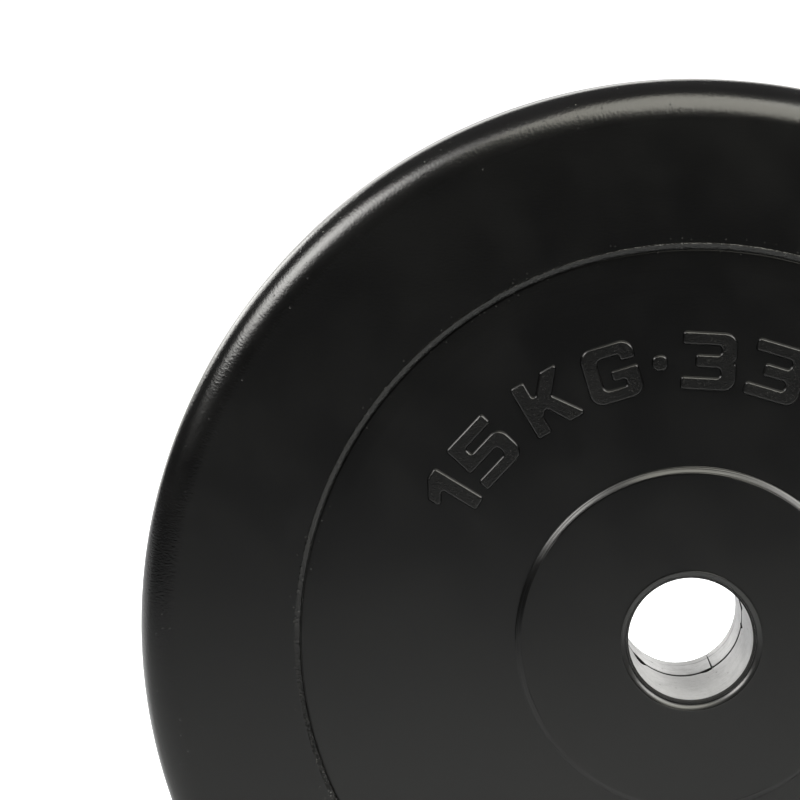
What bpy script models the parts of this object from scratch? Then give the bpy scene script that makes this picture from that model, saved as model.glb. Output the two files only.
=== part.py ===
"""Moulded rubber weight plate with a two-ring steel bore lining, standing on its rim.

The bore runs along Y, the front face looks along -Y, +Z is up, and the origin is the bore's centre
at half thickness. Lengths are in metres.
"""

import math

import bmesh
import bpy
from mathutils import Matrix, Vector

MM = 0.001

# Moulding
PLATE_RADIUS = 225.0 * MM
THICKNESS = 72.0 * MM
EDGE_FILLET = 15.0 * MM
TREAD_CROWN = 0.4 * MM
STEP_TOP_RADIUS = 160.7 * MM
STEP_FOOT_RADIUS = 158.7 * MM
HUB_TOP_RADIUS = 69.2 * MM
HUB_FOOT_RADIUS = 70.9 * MM
WEB_RECESS = 2.0 * MM
EDGE_ROUND = 0.6 * MM

# Bore mouth: a rubber lip that covers the end of the steel lining
MOUTH_FILLET = 2.6 * MM
LIP_RADIUS = 25.9 * MM
LIP_DEPTH = 3.4 * MM

# Steel lining
BORE_RADIUS = 25.2 * MM
SLEEVE_WALL = 2.6 * MM
SLEEVE_CHAMFER = 0.4 * MM
SEAM_FROM_FRONT = 44.0 * MM
SPLIT_ANGLE = math.radians(301.0)
SPLIT_WIDTH = 0.5 * MM

# Steel anchor disc inside the rubber
ANCHOR_RADIUS = 60.0 * MM
ANCHOR_THICKNESS = 3.0 * MM
ANCHOR_HOLES = 8
ANCHOR_HOLE_RADIUS = 6.0 * MM
ANCHOR_HOLE_CIRCLE = 45.0 * MM

# Gap left between neighbouring pieces
GAP = 0.3 * MM

# Roundness of the meshes
BODY_SEGMENTS = 96
SLEEVE_SEGMENTS = 72
HOLE_SEGMENTS = 16
EDGE_FILLET_STEPS = 6
MOUTH_FILLET_STEPS = 3
ROUND_STEPS = 1
SMOOTH_ANGLE = math.radians(30.0)

FRONT = -THICKNESS / 2
SLEEVE_OUTER_RADIUS = BORE_RADIUS + SLEEVE_WALL
SEAT_RADIUS = SLEEVE_OUTER_RADIUS + GAP
SLEEVE_FRONT_END = FRONT + LIP_DEPTH + GAP
SLEEVE_REAR_END = -SLEEVE_FRONT_END
SEAM_PLACE = FRONT + SEAM_FROM_FRONT


def clear_scene():
    """Remove every object that the scene starts with."""
    for item in list(bpy.data.objects):
        bpy.data.objects.remove(item, do_unlink=True)


def make_material(name, colour, roughness, metallic):
    """Return a plain Principled material."""
    material = bpy.data.materials.new(name)
    material.use_nodes = True
    shader = material.node_tree.nodes["Principled BSDF"]
    shader.inputs["Base Color"].default_value = (*colour, 1.0)
    shader.inputs["Roughness"].default_value = roughness
    shader.inputs["Metallic"].default_value = metallic
    material.diffuse_color = (*colour, 1.0)
    return material


def arc_points(centre, radius, start_deg, end_deg, steps):
    """Points of an arc in the (radius, depth) plane, both ends included."""
    points = []
    for step in range(steps + 1):
        angle = math.radians(start_deg + (end_deg - start_deg) * step / steps)
        points.append((centre[0] + radius * math.cos(angle), centre[1] + radius * math.sin(angle)))
    return points


def rounded_corner(before, corner, after, radius):
    """Points that replace a corner of the profile by a small tangent arc."""
    corner_point = Vector(corner)
    towards_before = (Vector(before) - corner_point).normalized()
    towards_after = (Vector(after) - corner_point).normalized()
    half_angle = towards_before.angle(towards_after) / 2
    reach = radius / math.tan(half_angle)
    centre = corner_point + (towards_before + towards_after).normalized() * radius / math.sin(half_angle)
    start = corner_point + towards_before * reach - centre
    end = corner_point + towards_after * reach - centre
    points = []
    for step in range(ROUND_STEPS + 1):
        blend = start.lerp(end, step / ROUND_STEPS).normalized() * radius
        points.append(tuple(centre + blend))
    return points


def front_half_profile():
    """Profile (radius, depth) of the moulding's front half, from the mouth lip out to the tread."""
    web = FRONT + WEB_RECESS
    mouth_centre = (LIP_RADIUS + MOUTH_FILLET, FRONT + MOUTH_FILLET)
    hub_top = (HUB_TOP_RADIUS, FRONT)
    hub_foot = (HUB_FOOT_RADIUS, web)
    step_foot = (STEP_FOOT_RADIUS, web)
    step_top = (STEP_TOP_RADIUS, FRONT)
    fillet_centre = (PLATE_RADIUS - TREAD_CROWN - EDGE_FILLET, FRONT + EDGE_FILLET)
    edge_start = (fillet_centre[0], FRONT)

    points = [(LIP_RADIUS, FRONT + LIP_DEPTH)]
    points += arc_points(mouth_centre, MOUTH_FILLET, 180, 270, MOUTH_FILLET_STEPS)
    points += rounded_corner(points[-1], hub_top, hub_foot, EDGE_ROUND)
    points += rounded_corner(hub_top, hub_foot, step_foot, EDGE_ROUND)
    points += rounded_corner(hub_foot, step_foot, step_top, EDGE_ROUND)
    points += rounded_corner(step_foot, step_top, edge_start, EDGE_ROUND)
    points += arc_points(fillet_centre, EDGE_FILLET, 270, 360, EDGE_FILLET_STEPS)
    return points


def moulding_profile():
    """Closed profile of the moulding: front half, crown of the tread, rear half and sleeve seat."""
    front_half = front_half_profile()
    rear_half = [(radius, -depth) for radius, depth in reversed(front_half)]
    seat_depth = FRONT + LIP_DEPTH
    return front_half + [(PLATE_RADIUS, 0.0)] + rear_half + [(SEAT_RADIUS, -seat_depth), (SEAT_RADIUS, seat_depth)]


def spin_profile(mesh_name, profile, segments, start_angle=0.0, sweep=math.tau):
    """Turn a closed (radius, depth) profile about Y; a part turn gets flat end caps."""
    shape = bmesh.new()
    turn = Matrix.Rotation(-start_angle, 3, "Y")
    loop = [shape.verts.new(turn @ Vector((radius, depth, 0.0))) for radius, depth in profile]
    edges = [shape.edges.new((loop[i], loop[(i + 1) % len(loop)])) for i in range(len(loop))]
    full_turn = math.isclose(sweep, math.tau)
    result = bmesh.ops.spin(
        shape,
        geom=loop + edges,
        cent=(0.0, 0.0, 0.0),
        axis=(0.0, -1.0, 0.0),
        angle=sweep,
        steps=segments,
        use_merge=full_turn,
    )
    if not full_turn:
        end_edges = [item for item in result["geom_last"] if isinstance(item, bmesh.types.BMEdge)]
        bmesh.ops.contextual_create(shape, geom=edges)
        bmesh.ops.contextual_create(shape, geom=end_edges)
    bmesh.ops.remove_doubles(shape, verts=shape.verts, dist=GAP / 100)
    bmesh.ops.recalc_face_normals(shape, faces=shape.faces)
    mesh = bpy.data.meshes.new(mesh_name)
    shape.to_mesh(mesh)
    shape.free()
    return mesh


def add_object(name, mesh, material):
    """Link a named object that carries the mesh and the material, shaded smooth by angle."""
    piece = bpy.data.objects.new(name, mesh)
    bpy.context.scene.collection.objects.link(piece)
    mesh.materials.append(material)
    mesh.shade_smooth()
    mesh.set_sharp_from_angle(angle=SMOOTH_ANGLE)
    return piece


def mark_as_cutter(piece):
    """Show a cutter as wires only."""
    piece.hide_render = True
    piece.display_type = "WIRE"


def subtract(target, cutter):
    """Cut one object out of another with an exact Boolean."""
    modifier = target.modifiers.new("Cut " + cutter.name, "BOOLEAN")
    modifier.operation = "DIFFERENCE"
    modifier.solver = "EXACT"
    modifier.object = cutter


def ring_profile(inner_radius, outer_radius, front, rear, chamfer=0.0):
    """Rectangle in the (radius, depth) plane with its two inner corners chamfered."""
    if chamfer == 0.0:
        return [(inner_radius, front), (outer_radius, front), (outer_radius, rear), (inner_radius, rear)]
    return [
        (inner_radius, front + chamfer),
        (inner_radius + chamfer, front),
        (outer_radius, front),
        (outer_radius, rear),
        (inner_radius + chamfer, rear),
        (inner_radius, rear - chamfer),
    ]


def hole_pins(name, radius, length, material):
    """Round pins along Y at the anchor's hole places, joined as one mesh."""
    shape = bmesh.new()
    for index in range(ANCHOR_HOLES):
        angle = math.tau * (index + 0.5) / ANCHOR_HOLES
        place = Vector((math.cos(angle), 0.0, math.sin(angle))) * ANCHOR_HOLE_CIRCLE
        pose = Matrix.Translation(place) @ Matrix.Rotation(math.pi / 2, 4, "X")
        bmesh.ops.create_cone(
            shape,
            cap_ends=True,
            segments=HOLE_SEGMENTS,
            radius1=radius,
            radius2=radius,
            depth=length,
            matrix=pose,
        )
    mesh = bpy.data.meshes.new(name)
    shape.to_mesh(mesh)
    shape.free()
    pins = add_object(name, mesh, material)
    mark_as_cutter(pins)
    return pins


def make_anchor_plate(steel):
    """Pierced steel disc round the lining at half thickness."""
    half = ANCHOR_THICKNESS / 2
    profile = ring_profile(SEAT_RADIUS, ANCHOR_RADIUS, -half, half)
    anchor = add_object("anchor_plate", spin_profile("anchor_plate", profile, SLEEVE_SEGMENTS), steel)
    pins = hole_pins("anchor_hole_cutter", ANCHOR_HOLE_RADIUS, ANCHOR_THICKNESS * 3, steel)
    subtract(anchor, pins)
    return anchor


def make_anchor_pocket(rubber):
    """Space for the anchor in the rubber: the disc grown by the gap, with pegs left standing in its holes."""
    half = ANCHOR_THICKNESS / 2 + GAP
    profile = ring_profile(SEAT_RADIUS - GAP, ANCHOR_RADIUS + GAP, -half, half)
    pocket = add_object("anchor_pocket_cutter", spin_profile("anchor_pocket_cutter", profile, SLEEVE_SEGMENTS), rubber)
    pegs = hole_pins("anchor_peg_cutter", ANCHOR_HOLE_RADIUS - GAP, ANCHOR_THICKNESS * 3, rubber)
    subtract(pocket, pegs)
    mark_as_cutter(pocket)
    return pocket


def make_rubber_body(rubber):
    """The moulding, with the pocket for the anchor cut from the sleeve seat outwards."""
    body = add_object("rubber_body", spin_profile("rubber_body", moulding_profile(), BODY_SEGMENTS), rubber)
    subtract(body, make_anchor_pocket(rubber))
    return body


def make_front_sleeve(steel):
    """Longer ring of the lining, from the front lip to the seam."""
    profile = ring_profile(
        BORE_RADIUS, SLEEVE_OUTER_RADIUS, SLEEVE_FRONT_END, SEAM_PLACE - GAP / 2, SLEEVE_CHAMFER
    )
    return add_object("front_sleeve", spin_profile("front_sleeve", profile, SLEEVE_SEGMENTS), steel)


def make_rear_sleeve(steel):
    """Shorter ring, rolled from strip: it stops short of a full turn by the width of its split."""
    profile = ring_profile(
        BORE_RADIUS, SLEEVE_OUTER_RADIUS, SEAM_PLACE + GAP / 2, SLEEVE_REAR_END, SLEEVE_CHAMFER
    )
    split_turn = SPLIT_WIDTH / BORE_RADIUS
    mesh = spin_profile(
        "rear_sleeve",
        profile,
        SLEEVE_SEGMENTS,
        start_angle=SPLIT_ANGLE + split_turn / 2,
        sweep=math.tau - split_turn,
    )
    return add_object("rear_sleeve", mesh, steel)


def main():
    clear_scene()
    rubber = make_material("satin black rubber", (0.018, 0.018, 0.018), 0.45, 0.0)
    steel = make_material("zinc plated steel", (0.62, 0.62, 0.63), 0.32, 1.0)
    dark_steel = make_material("dark steel", (0.16, 0.16, 0.17), 0.55, 1.0)
    make_rubber_body(rubber)
    make_front_sleeve(steel)
    make_rear_sleeve(steel)
    make_anchor_plate(dark_steel)


main()
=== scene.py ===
"""Looks of a moulded rubber weight plate with a steel lined bore, standing on its rim.

The bore runs along Y, the front face looks along -Y, +Z is up, and the origin is the bore's centre
at half thickness. Lengths are in metres, and angles on a face run anticlockwise from +X as the front
shows them.
"""

import math

import bmesh
import bpy
import numpy as np
from bpy.props import FloatProperty, FloatVectorProperty, IntProperty, PointerProperty, StringProperty
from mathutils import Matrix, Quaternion, Vector
from mathutils.geometry import tessellate_polygon


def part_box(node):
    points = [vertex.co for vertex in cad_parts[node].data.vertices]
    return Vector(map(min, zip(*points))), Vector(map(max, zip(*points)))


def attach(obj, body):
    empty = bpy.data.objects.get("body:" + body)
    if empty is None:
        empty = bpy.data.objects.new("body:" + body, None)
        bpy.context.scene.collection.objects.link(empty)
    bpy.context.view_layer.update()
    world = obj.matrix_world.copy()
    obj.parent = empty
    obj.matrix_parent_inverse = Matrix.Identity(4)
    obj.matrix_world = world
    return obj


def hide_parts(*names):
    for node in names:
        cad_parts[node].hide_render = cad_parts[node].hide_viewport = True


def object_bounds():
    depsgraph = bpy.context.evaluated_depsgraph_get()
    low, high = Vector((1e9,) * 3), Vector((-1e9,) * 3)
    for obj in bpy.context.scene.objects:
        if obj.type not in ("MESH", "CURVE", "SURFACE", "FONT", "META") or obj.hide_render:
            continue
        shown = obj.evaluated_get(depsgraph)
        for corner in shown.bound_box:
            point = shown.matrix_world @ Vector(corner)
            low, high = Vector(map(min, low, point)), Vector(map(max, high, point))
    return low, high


bl_info = {
    "name": "Rubber Weight Plate",
    "version": (1, 0, 0),
    "blender": (4, 5, 0),
    "location": "3D View > Sidebar > Weight Plate",
    "description": "Dresses the frame of a rubber weight plate with its moulding, marks and steel lining",
    "category": "Add Mesh",
}

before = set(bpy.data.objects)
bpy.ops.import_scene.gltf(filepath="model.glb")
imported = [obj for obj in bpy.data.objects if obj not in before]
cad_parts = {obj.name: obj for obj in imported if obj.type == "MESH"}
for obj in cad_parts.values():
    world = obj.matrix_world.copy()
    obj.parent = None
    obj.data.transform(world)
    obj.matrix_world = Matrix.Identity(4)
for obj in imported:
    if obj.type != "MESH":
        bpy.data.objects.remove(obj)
frame_low, frame_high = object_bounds()

MM = 0.001
ROOT = "root"

PLATE_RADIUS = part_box("rubber_body")[1].x
HALF_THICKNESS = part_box("rubber_body")[1].y
SLEEVE_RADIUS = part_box("front_sleeve")[1].x
SLEEVE_END = -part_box("front_sleeve")[0].y
SEAM_FRONT_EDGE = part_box("front_sleeve")[1].y
SEAM_REAR_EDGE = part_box("rear_sleeve")[0].y
ANCHOR_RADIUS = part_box("anchor_plate")[1].x
ANCHOR_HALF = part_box("anchor_plate")[1].y
GAP = 0.3 * MM
WELD_DISTANCE = 0.001 * MM
FLOOR_LEVEL = frame_low.z

PROFILE_STEP = math.radians(5.0)
PROFILE_CHORD_ERROR = 0.004 * MM
GLYPH_STEP = math.radians(15.0)
MARK_EDGE_STEP = math.radians(8.0)
BODY_SHARP_ANGLE = math.radians(40.0)
MARKS_SHARP_ANGLE = math.radians(35.0)
RING_SHARP_ANGLE = math.radians(40.0)


def length(name, description, millimetres):
    """A length property, with its default given in millimetres."""
    return FloatProperty(
        name=name,
        description=description,
        default=millimetres * MM,
        precision=5,
        subtype="DISTANCE",
        unit="LENGTH",
    )


def angle(name, description, degrees):
    """An angle property, with its default given in degrees."""
    return FloatProperty(
        name=name, description=description, default=math.radians(degrees), subtype="ANGLE", unit="ROTATION"
    )


def colour(name, description, default):
    """A colour property without alpha."""
    return FloatVectorProperty(
        name=name, description=description, default=default, size=3, min=0.0, max=1.0, subtype="COLOR"
    )


def brightness(name, description, default):
    """A brightness property."""
    return FloatProperty(name=name, description=description, default=default, min=0.0)


class MouldingSettings(bpy.types.PropertyGroup):
    """Sizes of the moulded rubber."""

    edge_fillet: length("Edge fillet", "Radius between a rim face and the tread", 15.0)
    tread_crown: length("Tread crown", "Drop of the tread at the ends of its crown", 0.4)
    flash_height: length("Flash height", "Height of the mould's parting ridge round the tread", 0.15)
    flash_width: length("Flash width", "Width of the parting ridge", 1.1)
    face_drop: length("Face drop", "Depth of the faces below the tops of their edge beads", 0.15)
    web_recess: length("Web recess", "Depth of the web below the rim and hub faces", 2.0)
    slope_depth: length("Slope depth", "Depth of the slopes round the web, above their upright walls", 1.4)
    step_top: length("Step top", "Radius where the rim face ends", 160.15)
    step_brow: length("Step brow", "Radius where the step's slope turns down to the web", 158.3)
    dish_width: length("Dish width", "Width of the gentle fall of the web towards the step", 16.0)
    dish_depth: length("Dish depth", "Depth of that fall at the step", 0.28)
    groove_width: length("Groove width", "Width of the fine groove at the step's foot", 0.5)
    groove_depth: length("Groove depth", "Depth of that groove", 0.5)
    hub_top: length("Hub top", "Radius where the hub face ends", 68.65)
    hub_brow: length("Hub brow", "Radius where the hub's slope turns down to the web", 70.8)
    wall_lean: length("Wall lean", "Lean of the short upright walls at the web's borders", 0.15)
    bead_width: length("Bead width", "Width of the fine beads along the step and the lip", 0.4)
    hub_round: length("Hub round", "Radius of the hub's upper edge", 1.8)
    brow_round: length("Brow round", "Radius of the edge between a slope and its upright wall", 0.3)
    crisp_round: length("Crisp round", "Radius of the sharpest moulded corners", 0.12)
    lip_radius: length("Lip radius", "Inner radius of the lip that covers the lining's end", 26.0)
    lip_brow: length("Lip brow", "Radius where the lip's outer slope meets its steeper inner one", 27.25)
    lip_outer: length("Lip outer", "Outer radius of the lip", 28.5)
    lip_brow_depth: length("Lip brow depth", "Depth of the lip's outer slope", 0.27)
    lip_slope_depth: length("Lip slope depth", "Depth of both slopes of the lip", 1.92)
    lip_round: length("Lip round", "Radius of the edge between the lip's two slopes", 3.2)
    lip_inner_round: length("Lip inner round", "Radius of the lip's inner edge", 0.7)
    lip_bead: length("Lip bead", "Height of the fine bead round the lip", 0.1)
    lip_depth: length("Lip depth", "Depth of the lip from the plate's front", 3.4)
    columns: IntProperty(name="Columns", description="Steps round the plate", default=384, min=48, step=8)


class MarkSettings(bpy.types.PropertyGroup):
    """Sizes of the raised weight marks."""

    text: StringProperty(
        name="Text", description="Weight marks, with a star for the dot", default="15 KG*33 LB"
    )
    cap_height: length("Cap height", "Height of the letters and figures", 23.0)
    arc_radius: length("Arc radius", "Radius at half height of the letters", 113.5)
    relief: length("Relief", "Height of the marks above the web", 1.1)
    sunk: length("Sunk", "Depth of the marks' foot below the web", 0.6)
    foot_out: length("Foot out", "Distance of the marks' foot outside their outline", 0.3)
    slope_width: length("Slope width", "Width of the marks' sloping edges", 0.63)
    edge_round: length("Edge round", "Rounding between a mark's slope and its flat top", 0.7)
    middle: angle("Middle", "Angle of the middle of the text", 95.5)


class LiningSettings(bpy.types.PropertyGroup):
    """Sizes of the steel lining."""

    bore_radius: length("Bore radius", "Inner radius of the lining", 25.2)
    end_round: length("End round", "Rounding at the outer ends of the rings", 0.4)
    seam_round: length("Seam round", "Rounding of the rings where they meet", 0.9)
    seam_wave: length("Seam wave", "Waviness of the rings' edges at the seam", 0.08)
    split_angle: angle("Split angle", "Place of the split in the rear ring", 301.0)
    split_width: length("Split width", "Width of the split at the seam", 0.75)


class FinishSettings(bpy.types.PropertyGroup):
    """Colours of the rubber and steel."""

    rubber: colour("Rubber", "Black of the moulded rubber", (0.0016, 0.0016, 0.0017))
    bloom: colour("Bloom", "Paler tone of the faint clouds on the rubber", (0.0034, 0.0034, 0.0034))
    dust: colour("Dust", "Specks of dust on the rubber", (0.30, 0.30, 0.28))
    steel: colour("Steel", "Bright zinc plated steel", (0.47, 0.47, 0.478))
    scuff: colour("Scuff", "Scuffed and greyed steel", (0.18, 0.18, 0.187))
    # Painted light: the rear ring's steel is brightened to stand for the extra light that reaches it from
    # behind.
    rear_painted_light: brightness("Rear tone", "Brightness of the rear ring beside that of the front one", 1.25)
    # This black is also painted shade: it darkens the seam and the rings' ends, which lie in shadow.
    grime_and_shade: colour("Grime", "Black left in the seam and at the ends of the lining", (0.010, 0.010, 0.010))
    anchor: colour("Anchor", "Plain steel of the anchor", (0.16, 0.16, 0.17))


class StageSettings(bpy.types.PropertyGroup):
    """Colours and brightness of the studio round the plate."""

    floor: colour("Floor", "Pale studio floor", (0.54, 0.55, 0.565))
    walls: brightness("Walls", "Brightness of the studio's walls in the plate's gloss", 0.045)
    ceiling: brightness("Ceiling", "Brightness of the ceiling in the plate's gloss", 0.17)
    beyond: brightness("Beyond", "Brightness that the camera sees past the floor", 1.2)


class WeightPlateSettings(bpy.types.PropertyGroup):
    """Everything that the panel shows."""

    moulding: PointerProperty(type=MouldingSettings)
    marks: PointerProperty(type=MarkSettings)
    lining: PointerProperty(type=LiningSettings)
    finish: PointerProperty(type=FinishSettings)
    stage: PointerProperty(type=StageSettings)


def unit(vectors):
    """Vectors scaled to a length of one."""
    return vectors / np.linalg.norm(vectors, axis=-1, keepdims=True)


def round_corners(corners, turn_per_step, chord_error=0.0):
    """Closed outline from corners (x, y, radius).

    Each corner becomes the arc that touches both of its sides. The arc's points lie at the corner's
    centre plus the radius turned evenly from one touching point to the other. A step is the given turn,
    or more on a small radius: twice the angle whose cosine is 1 less the chord error over the radius.
    """
    places = np.array([corner[:2] for corner in corners])
    to_before = unit(np.roll(places, 1, axis=0) - places)
    to_after = unit(np.roll(places, -1, axis=0) - places)
    half_angles = np.arccos(np.clip((to_before * to_after).sum(axis=1), -1.0, 1.0)) / 2
    pieces = []
    for place, before, after, half, corner in zip(places, to_before, to_after, half_angles, corners):
        radius = corner[2]
        swing = math.pi - 2 * half
        if radius == 0.0 or swing < turn_per_step / 4:
            pieces.append(place[None])
            continue
        widest_step = max(turn_per_step, 2 * math.acos(1 - chord_error / radius))
        centre = place + unit(before + after) * radius / math.sin(half)
        start = place + before * radius / math.tan(half) - centre
        end = place + after * radius / math.tan(half) - centre
        share = np.linspace(0.0, 1.0, math.ceil(swing / widest_step) + 1)[:, None]
        turned = (np.sin((1 - share) * swing) * start + np.sin(share * swing) * end) / math.sin(swing)
        pieces.append(centre + turned)
    return np.concatenate(pieces)


def add_support_points(outline, shortest, margin):
    """Outline with two more points on each side longer than shortest, a margin from the side's ends.

    They keep the shading of a wide flat face from leaning towards the rounded edges beside it.
    """
    starts, ends = outline[:-1], outline[1:]
    reach = np.linalg.norm(ends - starts, axis=1, keepdims=True)
    step = (ends - starts) * margin / reach
    pairs = np.stack([starts + step, ends - step], axis=1)
    long_sides = np.flatnonzero(reach > shortest)
    return np.insert(outline, np.repeat(long_sides + 1, 2), pairs[long_sides].reshape(-1, 2), axis=0)


def turn_about_bore(profile, angles):
    """Surface of a profile (radius, depth) turned about Y.

    The point of radius r and depth d at angle a is (r cos a, d, r sin a).
    """
    radius, depth = profile[:, 0, None], profile[:, 1, None]
    return np.stack([radius * np.cos(angles), depth + 0 * angles, radius * np.sin(angles)], axis=-1)


def grid_faces(rows, columns, wrap_columns):
    """Quads of a grid of points, as four point numbers each; the last column may join the first."""
    row, column = np.meshgrid(np.arange(rows - 1), np.arange(columns - (not wrap_columns)), indexing="ij")
    beside = (column + 1) % columns
    corners = [row * columns + column, (row + 1) * columns + column]
    corners += [(row + 1) * columns + beside, row * columns + beside]
    return np.stack(corners, axis=-1).reshape(-1, 4)


def weld(mesh):
    """Merge the points where patches meet and turn every face outwards."""
    shape = bmesh.new()
    shape.from_mesh(mesh)
    bmesh.ops.remove_doubles(shape, verts=shape.verts, dist=WELD_DISTANCE)
    bmesh.ops.dissolve_degenerate(shape, edges=shape.edges, dist=WELD_DISTANCE)
    bmesh.ops.recalc_face_normals(shape, faces=shape.faces)
    shape.to_mesh(mesh)
    shape.free()


def mesh_from_patches(name, patches):
    """Mesh of several grids of points, welded where their borders meet. A patch is (grid, wrap_columns)."""
    points, faces, first = [], [], 0
    for grid, wrap_columns in patches:
        rows, columns = grid.shape[:2]
        points.append(grid.reshape(-1, 3))
        faces.append(grid_faces(rows, columns, wrap_columns) + first)
        first += rows * columns
    mesh = bpy.data.meshes.new(name)
    mesh.from_pydata(np.concatenate(points), [], np.concatenate(faces))
    weld(mesh)
    return mesh


def add_piece(mesh, material, slot, sharp_angle, *replaced):
    """Link a finished mesh as a piece that rides on the plate and stands for the named nodes."""
    piece = bpy.data.objects.new(mesh.name, mesh)
    bpy.context.scene.collection.objects.link(piece)
    mesh.materials.append(material)
    mesh.shade_smooth()
    mesh.set_sharp_from_angle(angle=sharp_angle)
    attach(piece, ROOT)
    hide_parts(*replaced)
    return piece


def front_half_corners(size):
    """Corners (radius, depth, rounding) of the moulding's front half, from the lining's seat to the tread.

    Towards the step the web falls with the square of the distance, so half way it has fallen a quarter.
    """
    bead_share = 0.9
    face = -HALF_THICKNESS + size.face_drop
    web = -HALF_THICKNESS + size.web_recess
    dish = web + size.dish_depth
    brow = face + size.slope_depth
    lip_back = -HALF_THICKNESS + size.lip_depth
    bead_top = face - size.face_drop * bead_share
    tread_edge = PLATE_RADIUS - size.tread_crown
    groove_outer = size.step_brow - size.wall_lean
    groove_inner = groove_outer - size.groove_width
    groove_floor = dish + size.groove_depth
    return [
        (SLEEVE_RADIUS + GAP, lip_back, 0.0),
        (size.lip_radius, lip_back, size.crisp_round),
        (size.lip_radius, face + size.lip_slope_depth, size.lip_inner_round),
        (size.lip_brow, face + size.lip_brow_depth, size.lip_round),
        (size.lip_outer, face, size.crisp_round),
        (size.lip_outer + size.bead_width / 2, face - size.lip_bead, size.crisp_round),
        (size.lip_outer + size.bead_width, face, size.crisp_round),
        (size.hub_top, face, size.hub_round),
        (size.hub_brow, brow, size.brow_round),
        (size.hub_brow + size.wall_lean, web, size.crisp_round),
        (size.step_brow - size.dish_width, web, 0.0),
        (size.step_brow - size.dish_width / 2, web + size.dish_depth / 4, 0.0),
        (groove_inner, dish, size.crisp_round),
        (groove_inner, groove_floor, size.crisp_round),
        (groove_outer, groove_floor, size.crisp_round),
        (size.step_brow, brow, size.brow_round),
        (size.step_top, bead_top, size.crisp_round),
        (size.step_top + size.bead_width, face, size.crisp_round),
        (tread_edge, face, size.edge_fillet),
    ]


def tread_profile(size):
    """Points (radius, depth) across the tread.

    The crown falls with the square of the distance from the middle, and the parting ridge is added to
    it as half a wave.
    """
    tread_points, ridge_points = 15, 9
    reach = HALF_THICKNESS - size.edge_fillet
    ridge_reach = size.flash_width / 2
    coarse = np.linspace(-reach, reach, tread_points)
    fine = np.linspace(-ridge_reach, ridge_reach, ridge_points)
    depth = np.concatenate([coarse[coarse < fine[0]], fine, coarse[coarse > fine[-1]]])
    crown = size.tread_crown - size.flash_height
    wave = np.clip(np.cos(math.pi * depth / size.flash_width), 0.0, None)
    ridge = wave * (np.abs(depth) < ridge_reach)
    radius = PLATE_RADIUS - size.flash_height - crown * (depth / reach) ** 2 + size.flash_height * ridge
    return np.stack([radius, depth], axis=-1)


def moulding_profile(size):
    """Open profile (radius, depth) of the moulding, from the anchor's slot round to the slot again."""
    seat = SLEEVE_RADIUS + GAP
    slot_half = ANCHOR_HALF + GAP
    corners = front_half_corners(size) + [(PLATE_RADIUS - size.tread_crown, 0.0, 0.0), (seat, 0.0, 0.0)]
    front_half = round_corners(corners, PROFILE_STEP, PROFILE_CHORD_ERROR)[:-2]
    rear_half = front_half[::-1] * (1.0, -1.0)
    tread = tread_profile(size)[1:-1]
    start, end = [(seat, -slot_half)], [(seat, slot_half)]
    outline = np.concatenate([start, front_half, tread, rear_half, end])
    return add_support_points(outline, shortest=5 * MM, margin=0.5 * MM)


def peg_patches(columns):
    """Walls of the anchor's slot with the rubber pegs that cross it, one patch for each peg.

    A patch runs from the border of its eighth of the front wall to the peg's circle, along the peg,
    and out again to the same border on the rear wall. Each point of the circle lies on the line from
    the peg's centre to its point on the border.
    """
    holes, hole_circle, hole_radius, side_points = 8, 45.0 * MM, 6.0 * MM, 9
    peg_radius = hole_radius - GAP
    inner, outer = SLEEVE_RADIUS + GAP, ANCHOR_RADIUS + GAP
    slot_half = ANCHOR_HALF + GAP
    radial = np.linspace(inner, outer, side_points)
    patches = []
    for index in range(holes):
        along = np.linspace(0.0, 1.0, columns // holes + 1) + index
        around = along * math.tau / holes
        radius = np.concatenate([
            np.full(len(around) - 1, inner),
            radial[:-1],
            np.full(len(around) - 1, outer),
            radial[:0:-1],
        ])
        turn = np.concatenate([
            around[:-1],
            np.full(len(radial) - 1, around[-1]),
            around[:0:-1],
            np.full(len(radial) - 1, around[0]),
        ])
        border = np.stack([radius * np.cos(turn), radius * np.sin(turn)], axis=-1)
        middle = (index + 0.5) * math.tau / holes
        centre = np.array([math.cos(middle), math.sin(middle)]) * hole_circle
        circle = centre + unit(border - centre) * peg_radius
        flat = np.stack([border, circle, circle, border])
        depth = np.array([-slot_half, -slot_half, slot_half, slot_half])[:, None] + 0 * turn
        patches.append((np.stack([flat[..., 0], depth, flat[..., 1]], axis=-1), True))
    return patches


GLYPH_HEIGHT = 10.0
STEM = 2.6
BAR = 2.15
WIDE = 9.4
SHOULDER = 2.2
CRISP = 0.5


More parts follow.
